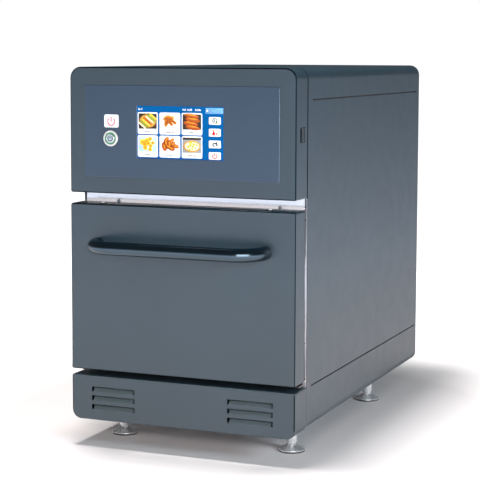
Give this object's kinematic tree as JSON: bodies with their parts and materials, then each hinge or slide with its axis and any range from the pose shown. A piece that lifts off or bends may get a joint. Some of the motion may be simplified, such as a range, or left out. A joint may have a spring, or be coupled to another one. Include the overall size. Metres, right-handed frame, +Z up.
{
  "type": "speed oven",
  "caption": "Narrow countertop speed oven: high cabinet, control head with touch screen, drop-down door with bar handle, louvred lower panel, blown cavity with microwave feed, levelling feet.",
  "frame": {"origin": "bottom centre of the whole oven, handle and cable gland included, on the plane under the feet", "axes": "+X to the right of someone facing the door, +Y from the door to the rear panel, +Z up"},
  "size_m": [0.406, 0.7807, 0.6471],
  "materials": {
    "slate_paint": "satin slate powder coat",
    "overlay_film": "smooth film",
    "stainless": "brushed",
    "cavity_steel": "satin",
    "zinc_sheet": "zinc plated",
    "chrome": "polished",
    "gloss_black": "gloss",
    "seal_rubber": "matt",
    "dark_plastic": "matt",
    "white_key": "smooth",
    "green_lens": "translucent",
    "screen_glass": "smooth",
    "mineral_wool": "fibrous",
    "circuit_board": "solder mask",
    "heater_sheath": "heat-tinted",
    "laminated_core": "varnished laminations",
    "filter_mesh": "mesh",
    "grey_plastic": "matt"
  },
  "bodies": {
    "cabinet": {"side_panel_left": "slate_paint", "side_panel_right": "slate_paint", "top_cover": "slate_paint", "base_pan": "zinc_sheet", "rear_panel": "slate_paint", "front_fascia": "stainless", "upper_deck": "zinc_sheet", "cavity_liner": "cavity_steel", "insulation_jacket": "mineral_wool", "upper_jet_plate": "cavity_steel", "hinge_bracket_left": "stainless", "hinge_bracket_right": "stainless", "hinge_pin_left": "chrome", "hinge_pin_right": "chrome", "interlock_switch_left": "grey_plastic", "interlock_switch_right": "grey_plastic", "control_housing": "slate_paint", "control_overlay": "overlay_film", "touch_screen": "screen_glass", "control_board": "circuit_board", "touch_key": "white_key", "power_button_bezel": "chrome", "power_button_ring": "green_lens", "side_socket": "dark_plastic", "lower_front_panel": "slate_paint", "air_filter": "filter_mesh", "blower_box": "cavity_steel", "blower_motor": "dark_plastic", "heater_ring": "heater_sheath", "waveguide": "zinc_sheet", "magnetron": "zinc_sheet", "stirrer_motor": "dark_plastic", "high_voltage_transformer": "laminated_core", "high_voltage_capacitor": "zinc_sheet", "power_board": "circuit_board", "cooling_fan_frame": "dark_plastic", "cable_gland": "dark_plastic"},
    "door": {"door_shell": "slate_paint", "door_inner_pan": "cavity_steel", "door_seal": "seal_rubber", "door_handle": "gloss_black", "door_screw_left": "chrome", "door_screw_right": "chrome", "hinge_block_left": "stainless", "hinge_block_right": "stainless", "catch_key_left": "stainless", "catch_key_right": "stainless"},
    "power_button": {"power_button_cap": "chrome"},
    "rack": {"oven_rack": "chrome"},
    "impeller": {"blower_impeller": "cavity_steel"},
    "stirrer": {"mode_stirrer": "cavity_steel"},
    "fan_rotor": {"cooling_fan_rotor": "grey_plastic"},
    "foot_front_left": {"foot_pad_front_left": "chrome"},
    "foot_front_right": {"foot_pad_front_right": "chrome"},
    "foot_rear_left": {"foot_pad_rear_left": "chrome"},
    "foot_rear_right": {"foot_pad_rear_right": "chrome"},
    "stem_front_left": {"foot_stem_front_left": "chrome"},
    "stem_front_right": {"foot_stem_front_right": "chrome"},
    "stem_rear_left": {"foot_stem_rear_left": "chrome"},
    "stem_rear_right": {"foot_stem_rear_right": "chrome"}
  },
  "joints": [
    {"name": "door_hinge", "type": "hinge", "parent": "cabinet", "child": "door", "pos_m": [0, -0.31565, 0.146], "axis": [1, 0, 0], "range_deg": [0, 90]},
    {"name": "power_button_press", "type": "slide", "parent": "cabinet", "child": "power_button", "axis": [0, 1, 0], "range_m": [0, 0.0025], "stiffness_N_per_m": 400, "springref_m": -0.001},
    {"name": "rack_lift", "type": "slide", "parent": "cabinet", "child": "rack", "axis": [0, 0, 1], "range_m": [0, 0.03]},
    {"name": "impeller_spin", "type": "hinge", "parent": "cabinet", "child": "impeller", "pos_m": [0, 0.05715, 0.276], "axis": [0, 1, 0], "continuous": true},
    {"name": "stirrer_spin", "type": "hinge", "parent": "cabinet", "child": "stirrer", "pos_m": [0, -0.13125, 0.378], "axis": [0, 0, 1], "continuous": true},
    {"name": "fan_spin", "type": "hinge", "parent": "cabinet", "child": "fan_rotor", "pos_m": [0.085, 0.36885, 0.5338], "axis": [0, 1, 0], "continuous": true},
    {"name": "foot_front_left_drop", "type": "slide", "parent": "cabinet", "child": "foot_front_left", "axis": [0, 0, -1], "range_m": [0, 0.015]},
    {"name": "foot_front_right_drop", "type": "slide", "parent": "cabinet", "child": "foot_front_right", "axis": [0, 0, -1], "range_m": [0, 0.015]},
    {"name": "foot_rear_left_drop", "type": "slide", "parent": "cabinet", "child": "foot_rear_left", "axis": [0, 0, -1], "range_m": [0, 0.015]},
    {"name": "foot_rear_right_drop", "type": "slide", "parent": "cabinet", "child": "foot_rear_right", "axis": [0, 0, -1], "range_m": [0, 0.015]},
    {"name": "foot_front_left_turn", "type": "hinge", "parent": "foot_front_left", "child": "stem_front_left", "pos_m": [-0.1575, -0.22065, 0.03], "axis": [0, 0, -1], "range_deg": [0, 3086]},
    {"name": "foot_front_right_turn", "type": "hinge", "parent": "foot_front_right", "child": "stem_front_right", "pos_m": [0.1575, -0.22065, 0.03], "axis": [0, 0, -1], "range_deg": [0, 3086]},
    {"name": "foot_rear_left_turn", "type": "hinge", "parent": "foot_rear_left", "child": "stem_rear_left", "pos_m": [-0.1575, 0.19935, 0.03], "axis": [0, 0, -1], "range_deg": [0, 3086]},
    {"name": "foot_rear_right_turn", "type": "hinge", "parent": "foot_rear_right", "child": "stem_rear_right", "pos_m": [0.1575, 0.19935, 0.03], "axis": [0, 0, -1], "range_deg": [0, 3086]}
  ],
  "couplings": [
    {"joint": "foot_front_left_turn", "follows": "foot_front_left_drop", "rad_per_m": 3590.4},
    {"joint": "foot_front_right_turn", "follows": "foot_front_right_drop", "rad_per_m": 3590.4},
    {"joint": "foot_rear_left_turn", "follows": "foot_rear_left_drop", "rad_per_m": 3590.4},
    {"joint": "foot_rear_right_turn", "follows": "foot_rear_right_drop", "rad_per_m": 3590.4}
  ]
}
